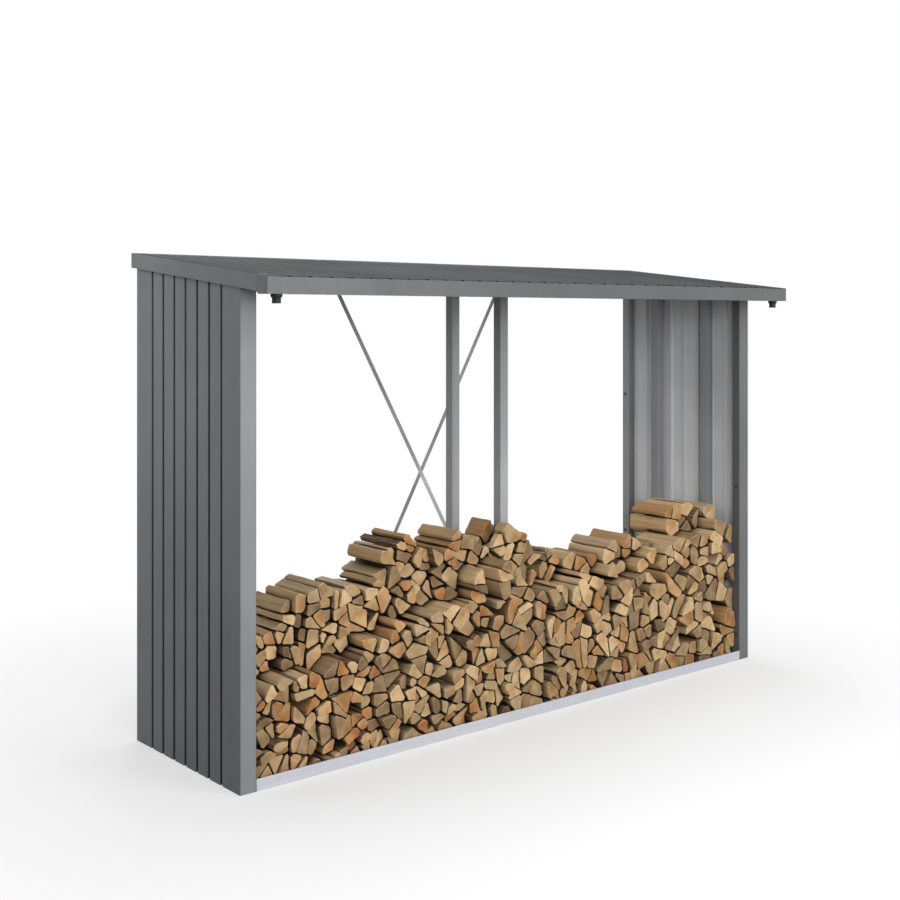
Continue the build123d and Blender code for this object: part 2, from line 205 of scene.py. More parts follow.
# Split sides, and the painted shade in the gaps between them
fibre_scales = (420.0, 9.0, 420.0)
fibre_detail = 4.0
fibre_levels = (0.84, 1.1)
streak_scales = (60.0, 3.5, 60.0)
streak_detail = 3.0
streak_levels = (0.78, 1.14)
streak_height = 1.5
side_roughness = (0.68, 0.86)
side_gloss = 0.3
side_bump = (0.5, 0.0014)
gap_reach = 0.06
gap_samples = 6
gap_stretch = (0.3, 0.85, 0.0, 1.0)

# Bark
plate_scales = (140.0, 10.0, 140.0)
fissure_stretch = (0.0, 0.22, 0.0, 1.0)
bark_cloud_noise = (70.0, 4.0)
bark_cloud_levels = (0.55, 1.0)
bark_stops = (0.1, 0.95)
bark_face_roughness = (0.8, 0.95)
bark_gloss = 0.2
bark_bump = (0.8, 0.003)

# Firewood, in metres, square metres, radians and shares
weld = 0.00002
sort_digits = 4
largest_end = (0.0034, 0.0068)
size_levels = (0.72, 1.28)
smallest_end = 0.0012
slimmest_end = 0.45
split_tries = 10
split_turn = math.radians(32)
off_centre_share = 0.1
chip_area = 0.0023
chip_keep_share = 0.3
cover_reach = 0.09
cover_rise = 0.05
log_slack = (0.0004, 0.0032)
corner_cut = (0.0018, 0.0105)
needle_cut = 2.2
round_cut_share = 0.3
longest_side = 0.018
end_scatter = 0.026
saw_chamfer = 0.0024
split_roughness = 0.0037
bark_roughness = 0.002
saw_tilt = 0.07
bow = 0.003
station_shares = (0.14, 0.3, 0.46, 0.62, 0.8)
bark_share = 0.13
bark_reach = math.radians(50)
pith_reach_shares = (0.35, 1.05)
crease = math.radians(32)
log_seed = 7

# Places of a log's materials in its mesh
end_kind, split_kind, bark_kind = 0, 1, 2

# Bolts on the posts, in metres, with their heights above the ground and insets from the posts' edges
bolt_radius = 0.0062
bolt_height = 0.0052
bolt_rim_share = 0.85
bolt_top_share = 0.82
washer_radius = 0.0088
washer_height = 0.0014
front_bolt_heights = (1.62, 0.87, 0.12)
rear_bolt_heights = (1.305, 0.555)
front_bolt_inset = 0.022
rear_bolt_inset = 0.018

# Screws on the roof's side trims, in metres; a step of a head is a share of its radius and a height
screw_radius = 0.0056
screw_height = 0.0028
screw_steps = ((1.0, 0.0), (1.0, 0.0008), (0.86, 0.0019), (0.45, screw_height))
front_screw_inset = 0.0115
rear_screw_inset = 0.022
screw_drop = 0.03

# Fasteners: sides of their round and hexagon forms, and the ends of the store with their way along x
round_sides = 18
hexagon_sides = 6
store_ends = (("left", -1), ("right", 1))

# Fall of the roof in y, as a rise over a run
roof_slope = 118 / 1036

# Floor, in metres: it lies just under the store, and turns white from a distance to a distance
floor_reach = 30.0
floor_drop = 0.0006
floor_roughness = 0.9
floor_white_stretch = (1.4, 3.2, 0.5, 1.0)

# World light at the horizon and overhead
horizon_light = 0.52
zenith_light = 0.07

# Light panels: place, point to turn to, width and height in metres, and power in watts
panels = {
    "front_left_panel": ((-2.6, -4.4, 2.1), (-0.6, 0.0, 0.9), 2.4, 1.8, 126.0),
    "front_panel": ((1.2, -4.8, 1.9), (0.5, 0.0, 0.8), 2.4, 1.8, 138.0),
    "left_panel": ((-3.2, 1.2, 2.9), (-1.46, 0.2, 1.8), 1.0, 1.0, 12.0),
    "right_panel": ((4.6, 0.4, 1.8), (1.46, 0.0, 1.0), 2.0, 1.8, 60.0),
    "rear_panel": ((1.8, 5.0, 2.2), (0.2, 0.0, 0.8), 2.4, 1.8, 120.0),
    "top_panel": ((0.0, 0.4, 5.4), (0.0, 0.0, 1.9), 3.2, 2.0, 108.0),
}


def linear(tint):
    """A colour from 0 to 255 as the linear value that a shader takes."""
    levels = [level / 255 for level in tint]
    low, bend, scale, power = 0.04045, 0.055, 12.92, 2.4
    return tuple(v / scale if v <= low else ((v + bend) / (1 + bend)) ** power for v in levels) + (1.0,)


class Shade:
    """The node tree of a material or world, with short calls that add and join its nodes."""

    def __init__(self, owner):
        owner.use_nodes = True
        self.owner = owner
        self.nodes = owner.node_tree.nodes
        self.links = owner.node_tree.links

    def feed(self, socket, value):
        """Joins a socket to another node's output, or sets its constant value."""
        if isinstance(value, bpy.types.NodeSocket):
            self.links.new(value, socket)
        else:
            socket.default_value = value

    def node(self, kind, inputs, **settings):
        made = self.nodes.new("ShaderNode" + kind)
        for name, value in settings.items():
            setattr(made, name, value)
        for name, value in inputs.items():
            self.feed(made.inputs[name], value)
        return made

    def math(self, operation, first, second=0.0):
        return self.node("Math", {0: first, 1: second}, operation=operation).outputs[0]

    def vector(self, operation, first, second):
        return self.node("VectorMath", {0: first, 1: second}, operation=operation).outputs[0]

    def length(self, vector):
        return self.node("VectorMath", {0: vector}, operation="LENGTH").outputs["Value"]

    def split(self, vector):
        return self.node("SeparateXYZ", {0: vector}).outputs

    def place(self):
        return self.node("TexCoord", {}).outputs["Object"]

    def position(self):
        """The parts of a point's place in the scene."""
        return self.split(self.node("NewGeometry", {}).outputs["Position"])

    def facing(self):
        """The parts of the way that a face looks."""
        return self.split(self.node("NewGeometry", {}).outputs["True Normal"])

    def noise(self, vector, scale, detail=plain_detail):
        return self.node("TexNoise", {"Vector": vector, "Scale": scale, "Detail": detail}).outputs[0]

    def stretched_noise(self, vector, scales, detail):
        """Noise with a scale of its own along each axis."""
        return self.noise(self.vector("MULTIPLY", vector, scales), 1.0, detail)

    def span(self, value, low, high, start, end):
        """Carries a value from one range to another."""
        inputs = {"Value": value, "From Min": low, "From Max": high, "To Min": start, "To Max": end}
        return self.node("MapRange", inputs).outputs[0]

    def ramp(self, value, *stops):
        """A colour that runs through stops, each a share and a tint."""
        made = self.node("ValToRGB", {"Fac": value})
        points = made.color_ramp.elements
        while len(points) < len(stops):
            points.new(0.5)
        for point, (share, tint) in zip(points, stops):
            point.position = share
            point.color = linear(tint)
        return made.outputs["Color"]

    def mix(self, share, first, second):
        return self.node("Mix", {0: share, 6: first, 7: second}, data_type="RGBA").outputs[2]

    def scaled(self, colour, level):
        """A colour made lighter or darker by a level."""
        return self.node("VectorMath", {0: colour, "Scale": level}, operation="SCALE").outputs[0]

    def bump(self, height, strength, distance):
        inputs = {"Height": height, "Strength": strength, "Distance": distance}
        return self.node("Bump", inputs).outputs["Normal"]

    def in_sight(self):
        """One for rays that show a thing to the camera, straight, mirrored or through glass."""
        rays = self.node("LightPath", {}).outputs
        seen = self.math("MAXIMUM", rays["Is Camera Ray"], rays["Is Glossy Ray"])
        return self.math("MAXIMUM", seen, rays["Is Transmission Ray"])

    def blend(self, share, first, second, output):
        """Joins a share of two shaders to the tree's output."""
        both = self.node("MixShader", {0: share, 1: first, 2: second})
        self.links.new(both.outputs[0], self.nodes[output].inputs["Surface"])

    def finish(self, inputs):
        """Feeds the material's own shader, and gives the material."""
        for name, value in inputs.items():
            self.feed(self.nodes["Principled BSDF"].inputs[name], value)
        return self.owner


def wall_inside(shade):
    """One on the faces of an end wall that look towards the middle of the store."""
    outward = shade.math("MULTIPLY", shade.position()["X"], shade.facing()["X"])
    return shade.math("LESS_THAN", outward, inward_limit)


def roof_inside(shade):
    """One on the faces of the roof that look down."""
    return shade.math("LESS_THAN", shade.facing()["Z"], downward_limit)


def trim_top(shade):
    """One on the faces of a roof trim that look up."""
    return shade.math("GREATER_THAN", shade.facing()["Z"], upward_limit)


def roof_groove(shade):
    """Level of the paint on the roof: full on the flats, with painted shade darker in the grooves and at
    their front ends.
    """
    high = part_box("left_roof_sheet")[1]
    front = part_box("left_roof_sheet")[0].y
    parts = shade.position()
    flat = shade.math("ADD", shade.math("MULTIPLY", parts["Y"], roof_slope), high.z - high.y * roof_slope)
    depth = shade.math("SUBTRACT", flat, parts["Z"])
    level = shade.span(depth, *roof_groove_stretch)
    at_end = shade.span(parts["Y"], front, front + groove_end_reach, *groove_end_levels)
    end_level = shade.math("MAXIMUM", at_end, shade.span(depth, *groove_side_stretch))
    level = shade.math("MINIMUM", level, end_level)
    return shade.math("MAXIMUM", level, roof_inside(shade))


def wall_groove(shade):
    """Level of the paint on a wall, painted light and shade: darker towards the front, and down in the
    grooves outside.
    """
    low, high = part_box("right_wall")
    parts = shade.position()
    depth = shade.math("SUBTRACT", high.x, shade.math("ABSOLUTE", parts["X"]))
    level = shade.span(depth, *wall_groove_stretch)
    level = shade.math("MULTIPLY", level, shade.span(parts["Y"], low.y, high.y, *wall_length_shade_levels))
    return shade.math("MAXIMUM", level, wall_inside(shade))


def painted_eave_shade(shade):
    """Level of the paint on a front post: full below and darker just under the roof, as painted shade."""
    return shade.span(shade.position()["Z"], *eave_shade_stretch)


def paint_layer(shade, tints, grade):
    """Paint that drifts a little between two tints and is graded along an axis, which paints light and
    shade onto it.
    """
    place = shade.place()
    axis, *stretch = grade
    colour = shade.ramp(shade.noise(place, drift_scale), *zip(noise_core, tints))
    return shade.scaled(colour, shade.span(shade.split(place)[axis], *stretch))


def coated_steel(name, tints, grade=even_grade, inside=None, level=None, gloss=satin_gloss):
    """Grey paint with fine flakes; inside is a mask with tints and a grade, and level darkens the paint.
    Grades other than even_grade, and the level, are painted light and shade.
    """
    shade = Shade(bpy.data.materials.new(name))
    place = shade.place()
    colour = paint_layer(shade, tints, grade)
    if inside:
        mask, *layer = inside
        colour = shade.mix(mask(shade), colour, paint_layer(shade, *layer))
    flecks_and_painted_shade = shade.span(shade.noise(place, *flake_noise), *flake_stretch)
    if level:
        flecks_and_painted_shade = shade.math("MULTIPLY", flecks_and_painted_shade, level(shade))
    rolled = shade.stretched_noise(place, roll_scales, roll_detail)
    peel = shade.noise(place, *peel_noise)
    height = shade.math("ADD", shade.math("MULTIPLY", rolled, roll_height), peel)
    return shade.finish({
        "Base Color": shade.scaled(colour, flecks_and_painted_shade),
        "Roughness": shade.span(rolled, *noise_core, *paint_roughness),
        "Specular IOR Level": gloss,
        "Normal": shade.bump(height, *paint_bump),
    })


def bright_metal(name, tints, metallic):
    """Zinc or mill finished metal with cloudy spangle and fine draw lines."""
    shade = Shade(bpy.data.materials.new(name))
    place = shade.place()
    cells = shade.node("TexVoronoi", {"Vector": place, "Scale": spangle_scale}).outputs["Color"]
    spangle = shade.math("MULTIPLY", shade.split(cells)["X"], spangle_share)
    draw = shade.stretched_noise(place, draw_scales, draw_detail)
    tone = shade.math("ADD", spangle, shade.math("MULTIPLY", draw, 1 - spangle_share))
    return shade.finish({
        "Base Color": shade.ramp(tone, *zip(metal_stops, tints)),
        "Metallic": metallic,
        "Roughness": shade.span(draw, *noise_core, *metal_roughness),
        "Normal": shade.bump(draw, *metal_bump),
    })


def black_plastic(name):
    """Moulded plastic with a fine grain."""
    shade = Shade(bpy.data.materials.new(name))
    place = shade.place()
    grain = shade.noise(place, *plastic_noise)
    cloud = shade.noise(place, plastic_cloud_scale)
    return shade.finish({
        "Base Color": shade.ramp(cloud, *zip(noise_core, plastic_tints)),
        "Roughness": shade.span(grain, *noise_core, *plastic_roughness),
        "Specular IOR Level": plastic_gloss,
        "Normal": shade.bump(grain, *plastic_bump),
    })


def spread(tints):
    """Tints at even shares from zero to one."""
    return [(place / (len(tints) - 1), tint) for place, tint in enumerate(tints)]


def log_tone(shade):
    """A log's own value from zero to one."""
    return shade.node("Attribute", {}, attribute_name="tone").outputs["Fac"]


def log_level(shade, tone):
    """How light a log is beside its neighbours."""
    chance = shade.node("TexWhiteNoise", {"W": tone}, noise_dimensions="1D").outputs["Value"]
    return shade.span(chance, 0.0, 1.0, *log_levels)


def log_grain(shade):
    """A point's place from its log's pith, across in x and z and along in y."""
    return shade.node("Attribute", {}, attribute_name="grain").outputs["Vector"]


def own_grain(shade, tone, grain):
    """A log's grain moved along by its tone, so that no two logs have the same texture."""
    stride = shade.node("CombineXYZ", {1: shade.math("MULTIPLY", tone, tone_stride)}).outputs[0]
    return shade.vector("ADD", grain, stride)


def in_open(shade):
    """From one in the open to zero deep in a gap between logs, where shade is painted."""
    inputs = {"Distance": gap_reach}
    open_share = shade.node("AmbientOcclusion", inputs, samples=gap_samples).outputs["AO"]
    return shade.span(open_share, *gap_stretch)


def drying_crack(shade, tone, flat, reach):
    """One in the cracks that run out from a log's pith, which fade on the way."""
    parts = shade.split(flat)
    turn = shade.math("MULTIPLY", shade.math("ARCTAN2", parts["Z"], parts["X"]), crack_turns)
    stride = shade.math("MULTIPLY", tone, crack_stride)
    rays = shade.noise(shade.node("CombineXYZ", {0: turn, 1: stride}).outputs[0], *crack_noise)
    off_middle = shade.math("ABSOLUTE", shade.math("SUBTRACT", rays, noise_middle))
    crack = shade.span(off_middle, *crack_stretch)
    return shade.math("MULTIPLY", crack, shade.span(reach, *crack_reach_stretch))


def cut_end(name):
    """A sawn end: year rings round the pith, a darker heart, drying cracks and saw lines."""
    shade = Shade(bpy.data.materials.new(name))
    tone, grain = log_tone(shade), log_grain(shade)
    own = own_grain(shade, tone, grain)
    flat = shade.vector("MULTIPLY", grain, across_grain)
    wander = shade.noise(own, ring_wander_scale)
    wander = shade.span(wander, 0.0, 1.0, -ring_wander, ring_wander)
    reach = shade.math("ADD", shade.length(flat), wander)
    rings = shade.math("SINE", shade.math("MULTIPLY", reach, ring_turns))
    heart = shade.math("MULTIPLY", shade.span(reach, *heart_stretch), heart_share)
    colour = shade.mix(heart, shade.ramp(tone, *spread(end_tints)), shade.ramp(tone, *spread(heart_tints)))
    cloud = shade.span(shade.noise(own, *end_cloud_noise), *noise_core, *end_cloud_levels)
    cloud = shade.math("MULTIPLY", cloud, shade.span(rings, -1.0, 1.0, *ring_levels))
    cloud = shade.math("MULTIPLY", cloud, log_level(shade, tone))
    crack = drying_crack(shade, tone, flat, reach)
    dark = shade.math("MULTIPLY", crack, crack_share)
    saw = shade.stretched_noise(own, saw_scales, saw_detail)
    height = shade.math("ADD", shade.math("MULTIPLY", rings, ring_height), saw)
    height = shade.math("SUBTRACT", height, shade.math("MULTIPLY", crack, crack_depth))
    return shade.finish({
        "Base Color": shade.mix(dark, shade.scaled(colour, cloud), linear(crack_tint)),
        "Roughness": shade.span(saw, *noise_core, *end_roughness),
        "Specular IOR Level": end_gloss,
        "Normal": shade.bump(height, *end_bump),
    })


def split_side(name):
    """A cloven face: long torn fibres with darker streaks, with painted shade in the gaps between logs."""
    shade = Shade(bpy.data.materials.new(name))
    tone, grain = log_tone(shade), log_grain(shade)
    own = own_grain(shade, tone, grain)
    fibres = shade.stretched_noise(own, fibre_scales, fibre_detail)
    streaks = shade.stretched_noise(own, streak_scales, streak_detail)
    level = shade.span(fibres, *noise_core, *fibre_levels)
    level = shade.math("MULTIPLY", level, shade.span(streaks, *noise_core, *streak_levels))
    level = shade.math("MULTIPLY", level, log_level(shade, tone))
    colour = shade.scaled(shade.ramp(tone, *spread(split_tints)), level)
    height = shade.math("ADD", fibres, shade.math("MULTIPLY", streaks, streak_height))
    return shade.finish({
        "Base Color": shade.mix(in_open(shade), linear(gap_shade_tint), colour),
        "Roughness": shade.span(fibres, *noise_core, *side_roughness),
        "Specular IOR Level": side_gloss,
        "Normal": shade.bump(height, *side_bump),
    })


def rough_bark(name):
    """Bark with long fissures and flat plates."""
    shade = Shade(bpy.data.materials.new(name))
    tone, grain = log_tone(shade), log_grain(shade)
    own = own_grain(shade, tone, grain)
    long_place = shade.vector("MULTIPLY", own, plate_scales)
    plates = shade.node("TexVoronoi", {"Vector": long_place, "Scale": 1.0}, feature="DISTANCE_TO_EDGE")
    fissure = shade.span(plates.outputs["Distance"], *fissure_stretch)
    cloud = shade.noise(own, *bark_cloud_noise)
    level = shade.math("MULTIPLY", fissure, shade.span(cloud, *noise_core, *bark_cloud_levels))
    return shade.finish({
        "Base Color": shade.ramp(level, *zip(bark_stops, (bark_dark_tint, bark_light_tint))),
        "Roughness": shade.span(cloud, *noise_core, *bark_face_roughness),
        "Specular IOR Level": bark_gloss,
        "Normal": shade.bump(shade.math("ADD", fissure, cloud), *bark_bump),
    })


def paint_nodes():
    """Gives every CAD node its finish: the one with the longest name that ends the node's own."""
    plain = coated_steel("grey_paint", paint_tints)
    square = coated_steel("frame_paint", frame_tints, frame_grade)
    # The walls' inside is the sheet's own lighter back coat, with painted shade that darkens it higher up
    wall_coat_with_painted_shade = (wall_inside, coat_tints, coat_grade)
    roof_coat = (roof_inside, coat_tints, even_grade)
    # Trim tops take darker tints as painted shade
    painted_trim_top_shade = (trim_top, trim_top_shade_tints, even_grade)
    # Inward faces of the corner posts: darker tints at the front are painted shade, lighter tints at the
    # rear painted light
    post_return_shade = (wall_inside, return_tints, frame_grade)
    rear_return = (wall_inside, rear_return_light_tints, frame_grade)
    rear_post = coated_steel("rear_post_paint", paint_tints, even_grade, rear_return)
    roof = coated_steel("roof_paint", roof_tints, roof_grade, roof_coat, roof_groove, matt_gloss)
    finishes = {
        "wall": coated_steel("wall_paint", paint_tints, wall_grade, wall_coat_with_painted_shade, wall_groove),
        "roof_sheet": roof,
        "roof_trim": coated_steel("trim_paint", trim_tints, trim_grade, painted_trim_top_shade, None, matt_gloss),
        # The gutter's grades along x are painted light and shade
        "left_gutter": coated_steel("left_gutter_paint", gutter_tints, left_gutter_grade),
        "right_gutter": coated_steel("right_gutter_paint", gutter_tints, right_gutter_grade),
        "gutter_end_cap": coated_steel("end_cap_paint", gutter_tints),
        "gutter_outlet": black_plastic("black_plastic"),
        # Front corner posts: painted light along x, painted shade on their inward faces and under the eave
        "corner_post": coated_steel("corner_post_paint", paint_tints, post_grade, post_return_shade, painted_eave_shade),
        "rear_left_corner_post": rear_post,
        "rear_right_corner_post": rear_post,
        "post": square,
        # The middle posts differ from the other square posts only by grades of painted light and shade
        "front_middle_post": coated_steel("front_frame_paint", frame_tints, front_frame_grade),
        "rear_middle_post": coated_steel("rear_frame_paint", frame_tints, rear_frame_grade),
        "purlin": square,
        "brace": coated_steel("brace_coating", brace_tints),
        # The falling brace differs from the other brace only by a painted glint, lighter low down
        "falling_brace": coated_steel("falling_brace_painted_glint", brace_tints, brace_glint_grade),
        "sill": bright_metal("bright_sill_metal", sill_tints, sill_metallic),
    }
    for name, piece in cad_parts.items():
        kinds = [kind for kind in finishes if name.endswith(kind)]
        piece.data.materials.clear()
        piece.data.materials.append(finishes[max(kinds, key=len)] if kinds else plain)


def middle_of(ring):
    return sum(ring, Vector((0, 0))) / len(ring)


def log_outlines(node):
    """The logs of a CAD node, each as its near and far end in y and its outline in x and z."""
    shape = bmesh.new()
    shape.from_mesh(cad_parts[node].data)
    bmesh.ops.remove_doubles(shape, verts=shape.verts, dist=weld)
    waiting = set(shape.verts)
    found = []
    while waiting:
        group = [waiting.pop()]
        for vert in group:
            for edge in vert.link_edges:
                other = edge.other_vert(vert)
                if other in waiting:
                    waiting.remove(other)
                    group.append(other)
        near = min(vert.co.y for vert in group)
        far = max(vert.co.y for vert in group)
        ring = [Vector((vert.co.x, vert.co.z)) for vert in group if vert.co.y < near + weld]
        middle = middle_of(ring)
        ring.sort(key=lambda point: math.atan2(point.y - middle.y, point.x - middle.x))
        found.append((middle.x, middle.y, near, far, ring))
    shape.free()
    found.sort(key=lambda log: [round(level, sort_digits) for level in log[:4]])
    return [log[2:] for log in found]


def covered(middle, middles):
    """True for a log that has another one above it."""
    return any(abs(m.x - middle.x) < cover_reach and m.y > middle.y + cover_rise for m in middles)


def outline_area(ring):
    pairs = zip(ring, ring[1:] + ring[:1])
    return abs(sum(a.x * b.y - a.y * b.x for a, b in pairs)) / 2


def roundness(ring):
    """One for a circle and less for a slim outline."""
    edge = sum((b - a).length for a, b in zip(ring, ring[1:] + ring[:1]))
    return 4 * math.pi * outline_area(ring) / edge ** 2


def outline_part(ring, point, normal):
    """The part of a convex outline that lies behind a line through a point."""
    kept = []
    for a, b in zip(ring, ring[1:] + ring[:1]):
        over_a, over_b = (a - point).dot(normal), (b - point).dot(normal)
        if over_a <= 0:
            kept.append(a)
        if over_a * over_b < 0:
            kept.append(a.lerp(b, over_a / (over_a - over_b)))
    return kept


def size_level(place):
    """How large the logs are at a place along the store, beside the usual size."""
    half_length = cad_box[1][0]
    share = (place + half_length) / (2 * half_length)
    return size_levels[0] * (1 - share) + size_levels[1] * share


def cloven(ring, level, rng):
    """The parts of an outline that is split across its length until none of them is large."""
    if outline_area(ring) < rng.uniform(*largest_end) * level:
        return [ring]
    middle = middle_of(ring)
    length = max((a - b for a in ring for b in ring), key=lambda reach: reach.length)
    for attempt in range(split_tries):
        normal = length.normalized()
        normal.rotate(Matrix.Rotation(rng.uniform(-split_turn, split_turn), 2))
        point = middle + length * rng.uniform(-off_centre_share, off_centre_share)
        parts = [outline_part(ring, point, normal), outline_part(ring, point, -normal)]
        large = min(outline_area(part) for part in parts) > smallest_end
        if large and min(roundness(part) for part in parts) > slimmest_end:
            return [smaller for part in parts for smaller in cloven(part, level, rng)]
    return [ring]


def scatter(reach, rng):
    """A random step of up to a reach both ways in x and z."""
    return Vector((rng.uniform(-reach, reach), rng.uniform(-reach, reach)))


def worn_outline(ring, middle, bark_way, rng):
    """An outline with its corners taken off, as points, each with True where bark follows it."""
    slack = rng.uniform(*log_slack)
    size = sum((point - middle).length for point in ring) / len(ring)
    drift = scatter(slack, rng) / 2
    inner = [middle + drift + (point - middle) * (1 - slack / size) for point in ring]
    count = len(inner)
    sides = [inner[(place + 1) % count] - inner[place] for place in range(count)]
    barked = []
    for side in sides:
        outward = Vector((side.y, -side.x))
        barked.append(bool(bark_way) and outward.angle(bark_way, math.pi) < bark_reach)
    points = []
    for place in range(count):
        before, after = sides[place - 1], sides[place]
        if barked[place - 1] or barked[place]:
            back, on = before * round_cut_share, after * round_cut_share
        else:
            sharpness = max(0.0, -before.normalized().dot(after.normalized()))
            cut = rng.uniform(*corner_cut) * (1 + needle_cut * sharpness)
            back = before * min(round_cut_share, cut / before.length)
            on = after * min(round_cut_share, cut / after.length)
        points.append((inner[place] - back, barked[place - 1] or barked[place]))
        points.append((inner[place] + on, barked[place]))
    worn = []
    for place, (point, bark) in enumerate(points):
        following = points[(place + 1) % len(points)][0]
        steps = max(1, math.ceil((following - point).length / longest_side))
        worn.extend((point.lerp(following, step / steps), bark) for step in range(steps))
    return worn


class Pile:
    """Vertices, faces and values of many logs, gathered for one mesh."""

    def __init__(self):
        self.points = []
        self.faces = []
        self.kinds = []
        self.tones = []
        self.grains = []

    def add_log(self, near, far, ring, rng):
        """Adds a log with worn corners, rough sides and uneven saw cuts."""
        middle = middle_of(ring)
        near += rng.uniform(0, end_scatter)
        far -= rng.uniform(0, end_scatter)
        tone = rng.random()
        way = rng.uniform(0, math.tau)
        barked = rng.random() < bark_share
        bark_way = Vector((math.cos(way), math.sin(way)))
        outline = worn_outline(ring, middle, bark_way if barked else None, rng)
        reach = max((point - middle).length for point, bark in outline)
        pith = middle - bark_way * reach * rng.uniform(*pith_reach_shares)
        near_tilt = scatter(saw_tilt, rng)
        far_tilt = scatter(saw_tilt, rng)
        bow_way = scatter(bow, rng)
        dents = [rng.random() for point in outline]
        length = far - near
        stations = [(0.0, saw_chamfer), (saw_chamfer / length, 0.0)]
        stations += [(share, 0.0) for share in station_shares]
        stations += [(1 - saw_chamfer / length, 0.0), (1.0, saw_chamfer)]
        start = len(self.points)
        for share, inset in stations:
            for (point, bark), dent in zip(outline, dents):
                depth = inset + (bark_roughness if bark else split_roughness) * (dent + rng.random()) / 2
                inward = (middle - point).normalized() * depth
                place = point + inward + bow_way * math.sin(math.pi * share)
                away = point - middle
                near_end = near + near_tilt.length * reach + near_tilt.dot(away)
                far_end = far - far_tilt.length * reach + far_tilt.dot(away)
                along = near_end + (far_end - near_end) * share
                self.points.append((place.x, along, place.y))
                self.grains.append((place.x - pith.x, along, place.y - pith.y))
                self.tones.append(tone)
        self.close_log(start, [bark for point, bark in outline], len(stations))

    def close_log(self, start, barks, rings):
        """Joins a log's rings of points with side faces, and closes both ends."""
        count = len(barks)
        for ring_place in range(rings - 1):
            for place, bark in enumerate(barks):
                a = start + ring_place * count + place
                b = start + ring_place * count + (place + 1) % count
                self.faces.append((a, b, b + count, a + count))
                self.kinds.append(bark_kind if bark else split_kind)
        last = start + (rings - 1) * count
        self.faces.append(tuple(start + place for place in reversed(range(count))))
        self.faces.append(tuple(last + place for place in range(count)))
        self.kinds += [end_kind, end_kind]

    def mesh(self, name, materials):
        """The gathered logs as one mesh."""
        mesh = bpy.data.meshes.new(name)
        mesh.from_pydata(self.points, [], self.faces)
        for material in materials:
            mesh.materials.append(material)
        mesh.polygons.foreach_set("material_index", self.kinds)
        mesh.polygons.foreach_set("use_smooth", [kind != end_kind for kind in self.kinds])
        tones = mesh.attributes.new("tone", "FLOAT", "POINT")
        tones.data.foreach_set("value", self.tones)
        grains = mesh.attributes.new("grain", "FLOAT_VECTOR", "POINT")
        grains.data.foreach_set("vector", [level for grain in self.grains for level in grain])
        mesh.set_sharp_from_angle(angle=crease)
        mesh.update()
        return mesh


def add_piece(name, mesh):
    """Puts a mesh into the scene as a piece of the store."""
    piece = bpy.data.objects.new(name, mesh)
    bpy.context.scene.collection.objects.link(piece)
    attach(piece, "root")
    return piece


def stack_firewood():
    """Split logs in place of the plain ones, with some loose chips left out under other logs."""
    materials = [cut_end("sawn_log_end"), split_side("split_log_side"), rough_bark("log_bark")]
    rng = random.Random(log_seed)
    for node in ("front_left_logs", "front_right_logs", "rear_left_logs", "rear_right_logs"):
        pile = Pile()
        logs = log_outlines(node)
        middles = [middle_of(ring) for near, far, ring in logs]
        for (near, far, ring), middle in zip(logs, middles):
            level = size_level(middle.x)
            parts = cloven(ring, level, rng)
            loose = len(parts) > 1 and covered(middle, middles)
            for part in parts:
                chip = loose and outline_area(part) < chip_area * level
                if not chip or rng.random() < chip_keep_share:
                    pile.add_log(near, far, part, rng)
        name = node.replace("logs", "firewood")
        piece = add_piece(name, pile.mesh(name, materials))
        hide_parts(node)


def turned(points, faces, profile, sides, base, axis):
    """Adds a closed turned form: rings of a radius and a height along an axis from its base."""
    side = axis.orthogonal().normalized()
    other = axis.cross(side)
    start = len(points)
    for radius, height in profile:
        for step in range(sides):
            turn = math.tau * step / sides
            points.append(base + axis * height + (side * math.cos(turn) + other * math.sin(turn)) * radius)
    for ring in range(len(profile) - 1):
        for step in range(sides):
            a = start + ring * sides + step
            b = start + ring * sides + (step + 1) % sides
            faces.append((a, b, b + sides, a + sides))
    faces.append(tuple(start + step for step in reversed(range(sides))))
    top = start + (len(profile) - 1) * sides
    faces.append(tuple(top + step for step in range(sides)))


def fastener_mesh(name, places, forms, material):
    """One mesh of fasteners, each at a place with an axis; a form is a profile and its number of sides."""
    points, faces = [], []
    for base, axis in places:
        for profile, sides in forms:
            turned(points, faces, profile, sides, Vector(base), Vector(axis))
    mesh = bpy.data.meshes.new(name)
    mesh.from_pydata(points, [], faces)
    mesh.materials.append(material)
    mesh.update()
    return mesh


def bolt_posts(zinc):
    """Hexagon bolts with washers on the inner sides of the corner posts."""
    washer = [(washer_radius, 0), (washer_radius, washer_height), (bolt_radius, washer_height)]
    top = washer_height + bolt_height
    rim = (bolt_radius, top * bolt_rim_share)
    head = [(bolt_radius, washer_height), rim, (bolt_radius * bolt_top_share, top)]
    places = []
    for side, sign in store_ends:
        low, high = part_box(f"front_{side}_corner_post")
        inner = low.x if sign > 0 else high.x
        for height in front_bolt_heights:
            places.append(((inner, low.y + front_bolt_inset, height), (-sign, 0, 0)))
        low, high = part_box(f"rear_{side}_corner_post")
        inner = low.x if sign > 0 else high.x
        for height in rear_bolt_heights:
            places.append(((inner, high.y - rear_bolt_inset, height), (-sign, 0, 0)))
    forms = [(washer, round_sides), (head, hexagon_sides)]
    add_piece("post_bolts", fastener_mesh("post_bolts", places, forms, zinc))


def screw_trims(zinc):
    """Round-headed screws at both ends of the roof's side trims."""
    head = [(screw_radius * share, height) for share, height in screw_steps]
    places = []
    for side, sign in store_ends:
        low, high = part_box(f"{side}_roof_trim")
        outer = low.x + screw_height if sign < 0 else high.x - screw_height
        for y in (low.y + front_screw_inset, high.y - rear_screw_inset):
            places.append(((outer, y, high.z - screw_drop - (high.y - y) * roof_slope), (sign, 0, 0)))
    forms = [(head, round_sides)]
    add_piece("trim_screws", fastener_mesh("trim_screws", places, forms, zinc))


